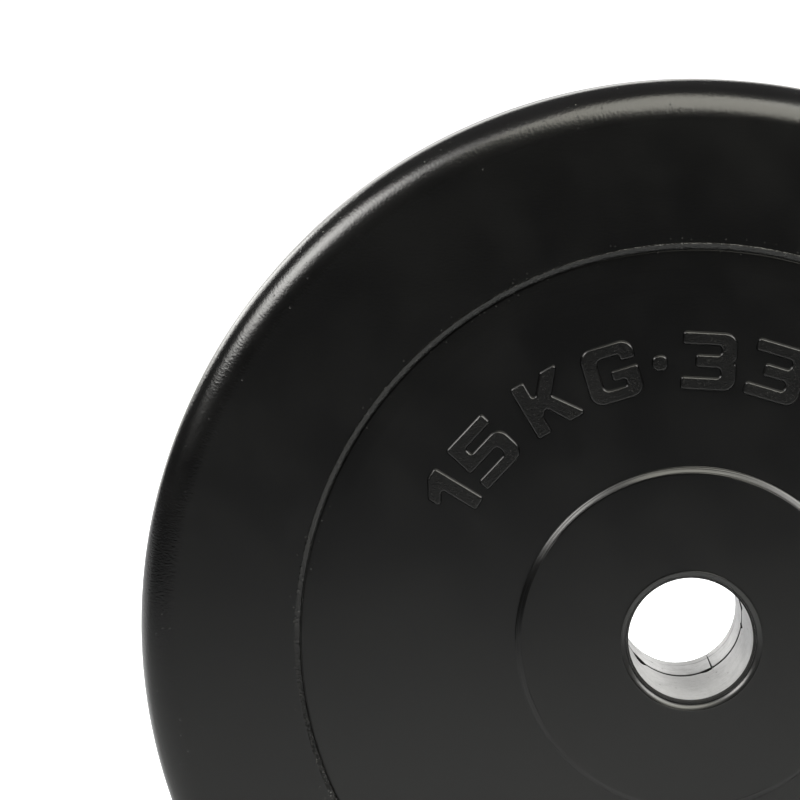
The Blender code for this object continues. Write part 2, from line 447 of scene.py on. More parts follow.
def glyph_outlines():
    """Outlines of the marks' letters and figures on a grid ten units high, as corners (x, y, radius)."""
    top, half = GLYPH_HEIGHT, GLYPH_HEIGHT / 2
    inner, upper = WIDE - STEM, GLYPH_HEIGHT - BAR
    waist_low, waist_high = half - BAR / 2, half + BAR / 2
    lobe = WIDE - 0.9
    one = [
        (2.7, 0, CRISP), (2.7 + STEM, 0, CRISP), (2.7 + STEM, top, CRISP), (3.0, top, CRISP),
        (0, 8.0, CRISP), (0, 5.5, CRISP), (2.7, 7.1, CRISP),
    ]
    five = [
        (0, 0, CRISP), (WIDE, 0, SHOULDER), (WIDE, 6.3, SHOULDER * 0.9), (STEM, 6.3, CRISP),
        (STEM, upper, CRISP), (WIDE - 0.4, upper, CRISP), (WIDE - 0.4, top, CRISP), (0, top, CRISP),
        (0, 4.15, CRISP), (inner, 4.15, CRISP * 1.5), (inner, BAR, CRISP * 1.5), (0, BAR, CRISP),
    ]
    three = [
        (0, 0, CRISP), (WIDE, 0, SHOULDER), (WIDE, 4.4, 0.7), (WIDE - 0.6, half, CRISP),
        (WIDE, top - 4.4, 0.7), (WIDE, top, SHOULDER), (0, top, CRISP), (0, upper, CRISP),
        (inner, upper, CRISP * 1.5), (inner, waist_high, CRISP * 1.5), (2.4, waist_high, CRISP),
        (2.4, waist_low, CRISP), (inner, waist_low, CRISP * 1.5), (inner, BAR, CRISP * 1.5),
        (0, BAR, CRISP),
    ]
    letter_k = [
        (0, 0, CRISP), (STEM, 0, CRISP), (STEM, 3.0, CRISP), (3.8, 4.2, CRISP),
        (6.3, 0, CRISP), (WIDE + 0.2, 0, CRISP), (5.7, 5.6, CRISP), (WIDE, top, CRISP),
        (6.0, top, CRISP), (STEM, 5.9, CRISP), (STEM, top, CRISP), (0, top, CRISP),
    ]
    letter_g = [
        (WIDE, 6.65, CRISP), (WIDE, top, SHOULDER), (0, top, SHOULDER), (0, 0, SHOULDER),
        (WIDE, 0, SHOULDER), (WIDE, 5.3, CRISP), (4.6, 5.3, CRISP), (4.6, 3.5, CRISP),
        (inner, 3.5, CRISP), (inner, BAR, CRISP), (STEM, BAR, CRISP * 2), (STEM, upper, CRISP * 2),
        (inner, upper, CRISP), (inner, 6.65, CRISP),
    ]
    letter_l = [
        (0, 0, CRISP), (8.0, 0, CRISP), (8.0, BAR, CRISP), (STEM, BAR, CRISP), (STEM, top, CRISP),
        (0, top, CRISP),
    ]
    letter_b = [
        (0, 0, CRISP), (WIDE, 0, SHOULDER), (WIDE, 4.5, 0.6), (lobe, 5.4, CRISP),
        (lobe, top, SHOULDER), (0, top, CRISP),
    ]
    lower_eye = [
        (STEM, BAR, CRISP), (inner, BAR, CRISP * 1.5), (inner, waist_low, CRISP * 1.5),
        (STEM, waist_low, CRISP),
    ]
    upper_eye = [
        (STEM, waist_high, CRISP), (lobe - STEM, waist_high, CRISP * 1.5), (lobe - STEM, upper, CRISP * 1.5),
        (STEM, upper, CRISP),
    ]
    dot_low, dot_high, dot_round = half - STEM / 2, half + STEM / 2, STEM * 0.4
    dot = [
        (0, dot_low, dot_round), (STEM, dot_low, dot_round), (STEM, dot_high, dot_round),
        (0, dot_high, dot_round),
    ]
    return {
        "1": [one], "5": [five], "3": [three], "K": [letter_k], "G": [letter_g], "L": [letter_l],
        "B": [letter_b, lower_eye, upper_eye], "*": [dot],
    }


def marks_on_arc(size):
    """Flat outlines of the whole text, one list for each mark, turned to stand on the arc.

    A mark's middle lies on the arc, and it is turned by its angle less a quarter turn. The marks follow
    each other clockwise with even gaps, and a space is a gap with nothing in it. A mark's own outline
    runs anticlockwise, and those of its eyes clockwise, so that the right-hand side is always outside.
    """
    gap, space = 2.5, -0.4
    scale = size.cap_height / GLYPH_HEIGHT
    shapes = glyph_outlines()
    widths = [space if mark == " " else max(x for x, _, _ in shapes[mark][0]) for mark in size.text]
    travelled = -(sum(widths) + gap * (len(widths) - 1)) / 2
    marks = []
    for mark, width in zip(size.text, widths):
        turn = size.middle - (travelled + width / 2) * scale / size.arc_radius
        travelled += width + gap
        lean = turn - math.pi / 2
        spin = np.array([[math.cos(lean), math.sin(lean)], [-math.sin(lean), math.cos(lean)]])
        centre = np.array([math.cos(turn), math.sin(turn)]) * size.arc_radius
        outlines = []
        for corners in shapes.get(mark, []):
            outline = (round_corners(corners, GLYPH_STEP) - (width / 2, GLYPH_HEIGHT / 2)) * scale
            x, y = outline.T
            anticlockwise = (x * np.roll(y, -1) - np.roll(x, -1) * y).sum() > 0
            is_eye = bool(outlines)
            outlines.append((outline if anticlockwise != is_eye else outline[::-1]) @ spin + centre)
        marks.append(outlines)
    return [outlines for outlines in marks if outlines]


def grow_outline(outline, distance):
    """Outline moved to its right-hand side by each of several distances, as a grid of points.

    A point moves along the mean of the normals of its two sides, by the distance over the cosine of
    half the turn between them.
    """
    before = unit(outline - np.roll(outline, 1, axis=0))
    after = unit(np.roll(outline, -1, axis=0) - outline)
    along = unit(before + after)
    outwards = np.stack([along[:, 1], -along[:, 0]], axis=-1) / (along * after).sum(axis=1, keepdims=True)
    return outline + np.asarray(distance)[:, None, None] * outwards


def mark_section(size):
    """Section of a mark's edge as distances outside its outline and heights above the web.

    It rises from the foot, climbs the slope, turns over in an arc and ends a little way on to the
    flat top.
    """
    flat_rim = 0.1 * MM
    slope_top = size.foot_out - size.slope_width
    steepness = math.atan2(size.relief, size.slope_width)
    flat_end = slope_top - size.edge_round * math.tan(steepness / 2) - flat_rim
    corners = [
        (size.foot_out, -size.sunk, 0.0), (size.foot_out, 0.0, 0.0),
        (slope_top, size.relief, size.edge_round), (flat_end, size.relief, 0.0), (flat_end, -size.sunk, 0.0),
    ]
    return round_corners(corners, MARK_EDGE_STEP)[:-1].T


def marks_mesh(name, size):
    """Closed solid of the marks in the XY plane.

    The section of their edges is carried along every outline, and a flat face joins the outlines of a
    mark at either end of the section.
    """
    out, rise = mark_section(size)
    points, faces, first = [], [], 0
    for outlines in marks_on_arc(size):
        rims = []
        for outline in outlines:
            grown = grow_outline(outline, out)
            height = np.broadcast_to(rise[:, None, None], (*grown.shape[:2], 1))
            points.append(np.concatenate([grown, height], axis=-1).reshape(-1, 3))
            rims.append((grown, first))
            faces += (grid_faces(len(out), len(outline), True)[:, ::-1] + first).tolist()
            first += grown.shape[0] * grown.shape[1]
        for row in (0, -1):
            loops = [np.pad(grown[row], ((0, 0), (0, 1))) for grown, _ in rims]
            numbers = np.concatenate([
                start + (row % len(out)) * grown.shape[1] + np.arange(grown.shape[1])
                for grown, start in rims
            ])
            faces += numbers[np.array(tessellate_polygon(loops))].tolist()
    mesh = bpy.data.meshes.new(name)
    mesh.from_pydata(np.concatenate(points), [], faces)
    return mesh


def lay_on_web(mesh, side, web):
    """Move a flat mesh on to the web: x stays across, y goes up, z goes out of the face.

    Side is 1 for the front and -1 for the rear, which is the front turned half round about Z.
    """
    flat = np.empty(len(mesh.vertices) * 3)
    mesh.vertices.foreach_get("co", flat)
    x, y, z = flat.reshape(-1, 3).T
    placed = np.stack([side * x, -side * (web + z), y], axis=-1)
    mesh.vertices.foreach_set("co", placed.ravel())
    mesh.update()


RING_POINTS = 361
WALL_POINTS = 9
ARC_POINTS = 4
SEAM_EASE = 0.1 * MM
FRONT_RING_SHARE = 0.65
SEAM_OPENINGS = (
    {"middle": math.radians(225.0), "reach": math.radians(10.0), "width": 9.0 * MM},
    {"middle": math.radians(296.0), "reach": math.radians(8.0), "width": 2.4 * MM},
    {"middle": math.radians(352.5), "reach": math.radians(2.2), "width": 7.0 * MM},
    {"middle": math.radians(14.5), "reach": math.radians(8.0), "width": 9.0 * MM},
)


def seam_opening(angles):
    """Extra width of the seam at each angle.

    Over each open stretch it is a raised cosine, to a power below 1 that keeps it wide near its ends.
    """
    power = 0.6
    total = np.zeros_like(angles)
    for stretch in SEAM_OPENINGS:
        away = (angles - stretch["middle"] + math.pi) % math.tau - math.pi
        share = np.clip(np.abs(away) / stretch["reach"], 0.0, 1.0)
        total += stretch["width"] * (0.5 + 0.5 * np.cos(math.pi * share)) ** power
    return total


def ring_section(bore, outer, front_round, rear_round):
    """Closed section of a ring, as radius, share of the ring's length, and distance to add to it.

    It runs down the bore, round the inner rear edge, out, back along the outside and round the inner
    front edge. The inner edges are quarter circles: at a turn q the radius is the bore's plus the
    rounding times 1 - cos q, and the edge lies the rounding times 1 - sin q inside the ring's end.
    """
    quarter = np.linspace(0.0, math.pi / 2, ARC_POINTS)
    wall = np.linspace(0.0, 1.0, WALL_POINTS)
    rear_radius = bore + rear_round * (1 - np.cos(quarter))
    front_radius = bore + front_round * (1 - np.cos(quarter[::-1]))
    straight = np.full(WALL_POINTS, bore)
    radius = np.concatenate([straight, rear_radius[1:], [outer, outer], front_radius[:-1]])
    share = np.concatenate([wall, np.ones(ARC_POINTS), np.zeros(ARC_POINTS)])
    wall_add = (1 - wall) * front_round - wall * rear_round
    rear_add = rear_round * (np.sin(quarter[1:]) - 1)
    front_add = front_round * (1 - np.sin(quarter[::-1][:-1]))
    return radius, share, np.concatenate([wall_add, rear_add, [0.0, 0.0], front_add])


def ring_grid(section, front_edge, rear_edge, angles):
    """Surface of a ring whose two edges wander along the bore with the angle.

    A point's depth lies its share of the way from the front edge to the rear one, plus its own distance.
    """
    radius, share, extra = (column[:, None] for column in section)
    depth = front_edge * (1 - share) + rear_edge * share + extra
    return np.stack([radius * np.cos(angles), depth, radius * np.sin(angles)], axis=-1)


def front_ring_mesh(size):
    """The longer ring, a full turn from the front lip to the seam, where its edge is a shallow sine."""
    waves_round, shift = 3, 0.7
    angles = np.linspace(0.0, math.tau, RING_POINTS)
    wave = size.seam_wave * np.sin(waves_round * angles + shift)
    rear_edge = SEAM_FRONT_EDGE - SEAM_EASE + wave - seam_opening(angles) * FRONT_RING_SHARE
    section = ring_section(size.bore_radius, SLEEVE_RADIUS, size.end_round, size.seam_round)
    grid = ring_grid(section, -SLEEVE_END + 0 * angles, rear_edge, angles)
    grid = np.concatenate([grid, grid[:1]])
    return mesh_from_patches("lining_front_ring", [(grid, False)])


def rear_ring_mesh(size):
    """The shorter ring, a turn less a split, with both ends closed by a fan.

    Half the split's angle is half its width over the radius, less its narrowing times the point's share
    of the way to the rear.
    """
    waves_round, shift, narrowing = 2, 2.1, 0.7
    section = ring_section(size.bore_radius, SLEEVE_RADIUS, size.seam_round, size.end_round)
    half_split = size.split_width / size.bore_radius / 2 * (1 - narrowing * section[1][:, None])
    along = np.linspace(0.0, 1.0, RING_POINTS)
    angles = size.split_angle + half_split + (math.tau - 2 * half_split) * along
    wave = size.seam_wave * np.sin(waves_round * angles + shift)
    front_edge = SEAM_REAR_EDGE + SEAM_EASE + wave + seam_opening(angles) * (1 - FRONT_RING_SHARE)
    grid = ring_grid(section, front_edge, SLEEVE_END + 0 * angles, angles)
    patches = [(np.concatenate([grid, grid[:1]]), False)]
    for end in (grid[:, 0], grid[:, -1]):
        middle = np.broadcast_to(end.mean(axis=0), end.shape)
        patches.append((np.stack([end, middle]), True))
    return mesh_from_patches("lining_rear_ring", patches)


class Shade:
    """A number that varies over a surface: a shader socket that takes Python's arithmetic."""

    def __init__(self, home, socket):
        self.home = home
        self.socket = socket

    def combine(self, operation, *numbers):
        """Math node on one or two numbers."""
        return self.home.node("ShaderNodeMath", {"operation": operation}, dict(enumerate(numbers)))

    def __add__(self, other):
        return self.combine("ADD", self, other)

    def __sub__(self, other):
        return self.combine("SUBTRACT", self, other)

    def __mul__(self, other):
        return self.combine("MULTIPLY", self, other)

    def __pow__(self, other):
        return self.combine("POWER", self, other)

    def __radd__(self, other):
        return self.combine("ADD", other, self)

    def __rsub__(self, other):
        return self.combine("SUBTRACT", other, self)

    def __rmul__(self, other):
        return self.combine("MULTIPLY", other, self)

    def __rpow__(self, other):
        return self.combine("POWER", other, self)

    def __abs__(self):
        return self.combine("ABSOLUTE", self)

    def turned_from(self, other):
        """Angle of the point (other, self) about the origin."""
        return self.combine("ARCTAN2", self, other)


class ShaderTree:
    """A tree of shader nodes, and the ways to add to it."""

    def __init__(self, tree):
        self.tree = tree

    def node(self, kind, settings, inputs, output=0):
        """Add a node: its settings first, then the values or links of its sockets. Returns one output."""
        node = self.tree.nodes.new(kind)
        for name, value in settings.items():
            setattr(node, name, value)
        self.feed(node, inputs)
        shown = [socket for socket in node.outputs if socket.enabled]
        socket = shown[output] if isinstance(output, int) else node.outputs[output]
        return Shade(self, socket)

    def feed(self, node, inputs):
        """Set or link sockets, named or numbered among those in use."""
        shown = [socket for socket in node.inputs if socket.enabled]
        for key, value in inputs.items():
            socket = shown[key] if isinstance(key, int) else next(item for item in shown if item.name == key)
            if isinstance(value, Shade):
                self.tree.links.new(value.socket, socket)
            else:
                socket.default_value = (*value, 1.0) if socket.type == "RGBA" else value

    def point(self, x, y, z):
        """Vector of three numbers."""
        return self.node("ShaderNodeCombineXYZ", {}, {"X": x, "Y": y, "Z": z})

    def ramp(self, value, low, high, at_low=0.0, at_high=1.0):
        """Smooth step of a number from at_low to at_high between low and high."""
        inputs = {"Value": value, "From Min": low, "From Max": high, "To Min": at_low, "To Max": at_high}
        return self.node("ShaderNodeMapRange", {"interpolation_type": "SMOOTHSTEP"}, inputs)

    def blend(self, share, first, second):
        """Colour between two colours."""
        settings = {"data_type": "RGBA", "clamp_factor": True}
        return self.node("ShaderNodeMix", settings, {"Factor": share, "A": first, "B": second})


class Finish(ShaderTree):
    """A material with a Principled shader, and the patterns that feed it."""

    def __init__(self, name):
        self.material = bpy.data.materials.new(name)
        self.material.use_nodes = True
        super().__init__(self.material.node_tree)
        self.shader = self.tree.nodes["Principled BSDF"]
        self.place = self.node("ShaderNodeTexCoord", {}, {}, "Object")
        self.x, self.y, self.z = (
            self.node("ShaderNodeSeparateXYZ", {}, {"Vector": self.place}, axis) for axis in "XYZ"
        )

    def from_axis(self):
        """Distance from the middle of the bore."""
        return (self.x * self.x + self.z * self.z) ** 0.5

    def noise(self, scale, detail=2.0, roughness=0.5, place=None):
        """Noise from 0 to 1, with scale in waves per metre."""
        inputs = {"Vector": place or self.place, "Scale": scale, "Detail": detail, "Roughness": roughness}
        return self.node("ShaderNodeTexNoise", {}, inputs, "Fac")

    def specks(self, scale, share, size):
        """Small round specks in a share of the cells: 1 at a cell's middle, fading to 0 at size from it."""
        inputs = {"Vector": self.place, "Scale": scale}
        away = self.node("ShaderNodeTexVoronoi", {}, inputs, "Distance")
        pick = self.node("ShaderNodeTexVoronoi", {}, inputs, "Color")
        lot = self.node("ShaderNodeSeparateColor", {}, {"Color": pick}, "Red")
        return self.ramp(away, size, size * 0.6) * self.ramp(lot, 1 - share, 1 - share + 0.01)

    def relief(self, height, distance, strength, normal=None):
        """Normal bent by a height that varies from 0 to 1, with the full height given as a distance."""
        inputs = {"Height": height, "Distance": distance, "Strength": strength}
        if normal is not None:
            inputs["Normal"] = normal
        return self.node("ShaderNodeBump", {}, inputs)

    def surface(self, inputs):
        """Feed the shader and give the finished material."""
        self.feed(self.shader, inputs)
        return self.material


def rim_edge_relief(finish, from_axis, turned_by, normal):
    """Fine hairs across the rim's edge, with pits between them.

    The hairs are noise on the unrolled edge, drawn out across it: the distance round the edge is kept,
    and the distances from the bore and from half thickness are shortened by the squeeze.
    """
    squeeze, hair_height = 0.6, 0.3
    on_edge = finish.ramp(from_axis, PLATE_RADIUS - 20 * MM, PLATE_RADIUS - 12 * MM)
    unrolled = finish.point(turned_by * PLATE_RADIUS, from_axis * squeeze, finish.y * squeeze)
    hairs = finish.noise(1100.0, 2.0, 0.5, unrolled)
    pits = finish.specks(300.0, share=0.3, size=0.14)
    return finish.relief(((hairs - 0.5) * hair_height - pits) * on_edge, 0.3 * MM, 1.0, normal)


def hub_edge_relief(finish, from_axis, turned_by, normal, size):
    """Turning marks round the hub's edge: noise that changes with the radius and hardly with the angle."""
    drift = 0.4 * MM
    middle = (size.hub_top + size.hub_brow) / 2
    on_hub_edge = finish.ramp(abs(from_axis - middle), 1.9 * MM, 1.3 * MM)
    turning = finish.noise(1700.0, 1.0, 0.5, finish.point(from_axis, finish.y, turned_by * drift))
    return finish.relief(finish.ramp(turning, 0.50, 0.66) * on_hub_edge, 0.09 * MM, 1.0, normal)


def rubber_finish(name, colours, size, grain_from=None):
    """Satin black rubber with faint clouds, dust, and hairs and pits on the rim's edge.

    Turning marks run round the hub's edge, crumbs lie along the step and a ragged black line of
    painted shade at its foot. The lip is rougher under a soft coat, except at its inner edge. Where
    |depth| passes grain_from, the surface is covered with small bumps and flecks.
    """
    finish = Finish(name)
    from_axis = finish.from_axis()
    turned_by = finish.z.turned_from(finish.x)
    clouds = finish.noise(9.0, 3.0, 0.5)
    blotches = finish.noise(38.0, 3.0, 0.55)
    waves = finish.noise(40.0, 1.0, 0.5)
    skin = finish.noise(1000.0, 1.0, 0.5)
    crumbs = finish.noise(900.0, 2.0, 0.6)

    from_step = abs(from_axis - (size.step_top + size.step_brow) / 2)
    on_step = finish.ramp(from_step, 1.6 * MM, 1.0 * MM)
    normal = finish.relief(waves, 0.03 * MM, 0.5)
    normal = finish.relief(skin, 0.012 * MM, 1.0, normal)
    normal = rim_edge_relief(finish, from_axis, turned_by, normal)
    normal = hub_edge_relief(finish, from_axis, turned_by, normal, size)
    normal = finish.relief((crumbs - 0.5) * on_step, 0.3 * MM, 1.0, normal)

    by_tread = finish.ramp(from_axis, PLATE_RADIUS - 14 * MM, PLATE_RADIUS - 2 * MM, 0.06, 1.0)
    dust = finish.specks(420.0, share=0.05, size=0.12) * by_tread
    near_step = finish.ramp(from_step, 5.0 * MM, 2.0 * MM)
    flecks = finish.specks(600.0, share=0.4, size=0.2) * near_step
    flecks = flecks + finish.ramp(crumbs, 0.48, 0.62) * on_step * 0.25
    if grain_from is not None:
        on_top = finish.ramp(abs(finish.y), grain_from - 0.03 * MM, grain_from)
        bumps = finish.noise(1500.0, 3.0, 0.65)
        normal = finish.relief((bumps - 0.5) * on_top, 0.14 * MM, 1.0, normal)
        flecks = flecks + finish.specks(1200.0, share=0.6, size=0.3) * on_top * 0.4

    tone = finish.ramp(clouds * 0.6 + blotches * 0.4, 0.35, 0.65)
    # Painted shade: a ragged black line along the step's foot, where the groove lies in shadow.
    ragged = from_axis + crumbs * 2.0 * MM
    foot_shade_line = finish.ramp(abs(ragged - size.step_brow - 0.4 * MM), 0.9 * MM, 0.5 * MM)
    base = finish.blend(tone, tuple(colours.rubber), tuple(colours.bloom))
    base = finish.blend(foot_shade_line, base, (0.0, 0.0, 0.0))
    base = finish.blend(dust * 0.6 + flecks * 0.15, base, tuple(colours.dust))

    on_lip = finish.ramp(from_axis, size.lip_outer, size.lip_outer - 0.2 * MM)
    mouth_edge = finish.ramp(from_axis, size.lip_radius + 0.7 * MM, size.lip_radius + 0.45 * MM)
    coated = on_lip * (1 - mouth_edge)
    roughness = finish.ramp(blotches, 0.3, 0.7, 0.205, 0.235) + (skin - 0.5) * 0.02 + coated * 0.12
    return finish.surface({
        "Base Color": base,
        "Roughness": roughness,
        "Normal": normal,
        "Coat Weight": coated * 0.5,
        "Coat Roughness": 0.3,
    })


def steel_grime_and_shade(finish, clouds, bore_radius):
    """Share of black on the lining, from 0 to 1: painted shade along the seam and at the ends, and specks of
    grime.
    """
    seam_middle = (SEAM_FRONT_EDGE + SEAM_REAR_EDGE) / 2
    # Painted shade: a dark band along the seam, for the shading of the rings' rounded edges there.
    near_seam = finish.ramp(abs(finish.y - seam_middle), 1.9 * MM, 0.8 * MM)
    near_seam = near_seam * finish.ramp(clouds, 0.35, 0.65, 0.55, 0.85)
    # Painted shade: off the bore wall and within the rings' outer ends the steel turns black, for the shadow
    # in the gap behind the lip.
    on_wall = finish.ramp(finish.from_axis(), bore_radius + 0.12 * MM, bore_radius + 0.03 * MM)
    on_wall = on_wall * finish.ramp(abs(finish.y), SLEEVE_END - 0.5 * MM, SLEEVE_END - 0.8 * MM)
    specks = finish.specks(280.0, share=0.2, size=0.16)
    return 1 - (1 - near_seam) * on_wall * (1 - specks * 0.8)


def steel_finish(name, colours, bore_radius, tone):
    """Zinc plated steel: clouds, scuffs along the turn, a worn line near the rear end, grime, painted shade.

    Tone above 1 brightens its clean steel as painted light, for the rear ring that the backdrop lights
    more. Patterns that follow the turn are noise on the unrolled bore: the distance round it from the
    bottom, and the distance along it.
    """
    finish = Finish(name)
    worn_line = SLEEVE_END - 6.5 * MM
    around = finish.x.turned_from(0 - finish.z) * bore_radius
    clouds = finish.noise(90.0, 3.0, 0.6)
    streaks = finish.noise(420.0, 4.0, 0.7, finish.point(around * 0.25, finish.y * 3.0, 0.0))
    drawn = finish.noise(300.0, 3.0, 0.7, finish.point(around * 2.0, finish.y * 0.5, 0.0))
    fine = finish.noise(1500.0, 2.0, 0.5)
    scuffs = finish.ramp(streaks, 0.55, 0.66) * 0.6 + finish.ramp(clouds, 0.45, 0.75) * 0.25
    on_line = finish.ramp(abs(finish.y - worn_line), 0.8 * MM, 0.2 * MM)
    scuffs = scuffs + on_line * finish.ramp(clouds, 0.35, 0.6) * 0.6
    grime_and_shade = steel_grime_and_shade(finish, clouds, bore_radius)
    # A tone above 1 is painted light: a brighter copy of the clean steel.
    base = finish.blend(scuffs, tuple(part * tone for part in colours.steel), tuple(colours.scuff))
    # Grime specks and painted shade both blacken the steel here.
    base = finish.blend(grime_and_shade, base, tuple(colours.grime_and_shade))
    roughness = finish.ramp(drawn, 0.35, 0.65, 0.50, 0.58) + grime_and_shade * 0.3
    normal = finish.relief(streaks * 0.5 + drawn * 0.3 + fine * 0.2, 0.03 * MM, 0.5)
    return finish.surface({
        "Base Color": base,
        "Metallic": 0.85 * (1 - grime_and_shade),
        "Roughness": roughness,
        "Normal": normal,
    })


def anchor_finish(name, colours):
    """Hot rolled steel with dark scale in patches."""
    finish = Finish(name)
    scale_patches = finish.ramp(finish.noise(70.0, 4.0, 0.6), 0.4, 0.6)
    fine = finish.noise(800.0, 3.0, 0.6)
    scale_colour = tuple(part * 0.45 for part in colours.anchor)
    base = finish.blend(scale_patches, tuple(colours.anchor), scale_colour)
    roughness = 0.5 + (fine - 0.5) * 0.2
    normal = finish.relief(fine, 0.05 * MM, 0.5)
    return finish.surface({"Base Color": base, "Metallic": 1.0, "Roughness": roughness, "Normal": normal})


def floor_finish(name, colours):
    """Matt pale floor that glows behind the plate, and shows plain white further away.

    Only a share of the glow behind the plate reaches it. The rest is for the camera alone, as is the
    white far away.
    """
    finish = Finish(name)
    lit_share, glow_strength = 0.45, 1.1
    mottle = finish.noise(3.0, 2.0, 0.5)
    base = finish.blend(mottle * 0.1, tuple(colours.floor), tuple(part * 0.97 for part in colours.floor))
    behind = finish.ramp(finish.y, 0.10, 0.45)
    from_middle = (finish.x * finish.x + finish.y * finish.y) ** 0.5
    far = finish.ramp(from_middle, 0.6, 1.6)
    seen = finish.node("ShaderNodeLightPath", {}, {}, "Is Camera Ray")
    glow = behind * lit_share + seen * (behind * (1 - lit_share) + far)
    glow = finish.blend(glow, (0.0, 0.0, 0.0), (1.0, 1.0, 1.0))
    return finish.surface({
        "Base Color": base,
        "Roughness": 0.9,
        "Specular IOR Level": 0.0,
        "Emission Color": glow,
        "Emission Strength": glow_strength,
    })


class WEIGHTPLATE_OT_moulded_body(bpy.types.Operator):
    """Make the rubber moulding that stands for rubber_body"""

    bl_idname = "weight_plate.moulded_body"
    bl_label = "Moulded body"

    def execute(self, context):
        settings = context.scene.weight_plate
        size = settings.moulding
        angles = np.arange(size.columns) * math.tau / size.columns
        slot_half = ANCHOR_HALF + GAP
        slot_end = np.array([(ANCHOR_RADIUS + GAP, -slot_half), (ANCHOR_RADIUS + GAP, slot_half)])
        patches = [(turn_about_bore(moulding_profile(size), angles), True)]
        patches += [(turn_about_bore(slot_end, angles), True)]
        patches += peg_patches(size.columns)
        mesh = mesh_from_patches("moulded_body", patches)
        material = rubber_finish("moulded_rubber", settings.finish, size)
        add_piece(mesh, material, "black_rubber", BODY_SHARP_ANGLE, "rubber_body")
        return {"FINISHED"}


class WEIGHTPLATE_OT_raised_marks(bpy.types.Operator):
    """Make the raised weight marks on both faces"""

    bl_idname = "weight_plate.raised_marks"
    bl_label = "Raised marks"

    def execute(self, context):
        settings = context.scene.weight_plate
        size = settings.marks
        web = HALF_THICKNESS - settings.moulding.web_recess
        top = web + size.relief - 0.01 * MM
        grained = rubber_finish("grained_rubber", settings.finish, settings.moulding, top)
        for name, side in (("raised_marks_front", 1), ("raised_marks_rear", -1)):
            mesh = marks_mesh(name, size)
            lay_on_web(mesh, side, web)
            weld(mesh)
            add_piece(mesh, grained, "black_rubber", MARKS_SHARP_ANGLE)
        return {"FINISHED"}


class WEIGHTPLATE_OT_lining(bpy.types.Operator):
    """Make the two steel rings that line the bore"""

    bl_idname = "weight_plate.lining"
    bl_label = "Steel lining"

    def execute(self, context):
        settings = context.scene.weight_plate
        size, colours = settings.lining, settings.finish
        front = steel_finish("front_ring_zinc", colours, size.bore_radius, tone=1.0)
        # The rear ring is a brighter copy of the same steel: painted light.
        rear = steel_finish("rear_ring_zinc_painted_light", colours, size.bore_radius, tone=colours.rear_painted_light)
        add_piece(front_ring_mesh(size), front, "zinc_steel", RING_SHARP_ANGLE, "front_sleeve")
        add_piece(rear_ring_mesh(size), rear, "zinc_steel", RING_SHARP_ANGLE, "rear_sleeve")
        return {"FINISHED"}


class WEIGHTPLATE_OT_anchor(bpy.types.Operator):
    """Give the anchor inside the rubber its steel finish"""

    bl_idname = "weight_plate.anchor"
    bl_label = "Anchor finish"

    def execute(self, context):
        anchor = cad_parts["anchor_plate"]
        anchor.data.materials.clear()
        anchor.data.materials.append(anchor_finish("rolled_steel", context.scene.weight_plate.finish))
        return {"FINISHED"}


CAMERA_PLACE = (-0.0898, -0.9458, 0.2145)
CAMERA_TURN = (82.712, 0.217, 1.696)
CAMERA_LENS = 103.5
CAMERA_SENSOR = 36.0

WARM = (1.0, 0.985, 0.87)
PALE = (1.0, 0.99, 0.955)
SOFTBOXES = (
    {
        "name": "overhead_light", "aim": (0.0, -0.03, 0.215), "azimuth": 13.0, "elevation": 43.0,
        "distance": 1.0, "across": 36.5, "tall": 59.0, "spread": 150.0, "radiance": 6.0,
        "roll": 37.7, "tint": WARM,
    },
    {
        "name": "left_light", "aim": (-0.155, -0.03, 0.155), "azimuth": -63.0, "elevation": 36.0,
        "distance": 3.0, "across": 38.0, "tall": 30.0, "spread": 48.0, "radiance": 18.0,
    },
    {
        "name": "right_light", "aim": (0.155, -0.03, 0.155), "azimuth": 63.0, "elevation": 36.0,
        "distance": 3.0, "across": 38.0, "tall": 30.0, "spread": 48.0, "radiance": 15.0,
    },
    {
        "name": "left_corner_light", "aim": (-0.11, -0.03, 0.19), "azimuth": -46.0, "elevation": 53.0,
        "distance": 3.0, "across": 26.0, "tall": 15.0, "spread": 60.0, "radiance": 3.0,
    },
    {
        "name": "right_corner_light", "aim": (0.11, -0.03, 0.19), "azimuth": 46.0, "elevation": 53.0,
        "distance": 3.0, "across": 26.0, "tall": 15.0, "spread": 60.0, "radiance": 5.0,
    },
    {
        "name": "rear_left_light", "aim": (-0.155, 0.0, 0.155), "azimuth": -139.0, "elevation": 20.0,
        "distance": 1.5, "across": 25.0, "tall": 22.0, "spread": 180.0, "radiance": 3.9,
    },
    {
        "name": "rear_right_light", "aim": (0.155, 0.0, 0.155), "azimuth": 148.0, "elevation": 28.0,
        "distance": 1.5, "across": 25.0, "tall": 22.0, "spread": 180.0, "radiance": 4.0,
    },
    {
        "name": "backdrop_light", "aim": (0.0, 0.0, 0.0), "azimuth": 180.0, "elevation": 12.0,
        "distance": 2.7, "across": 86.0, "tall": 42.0, "spread": 180.0, "radiance": 1.4,
    },
)


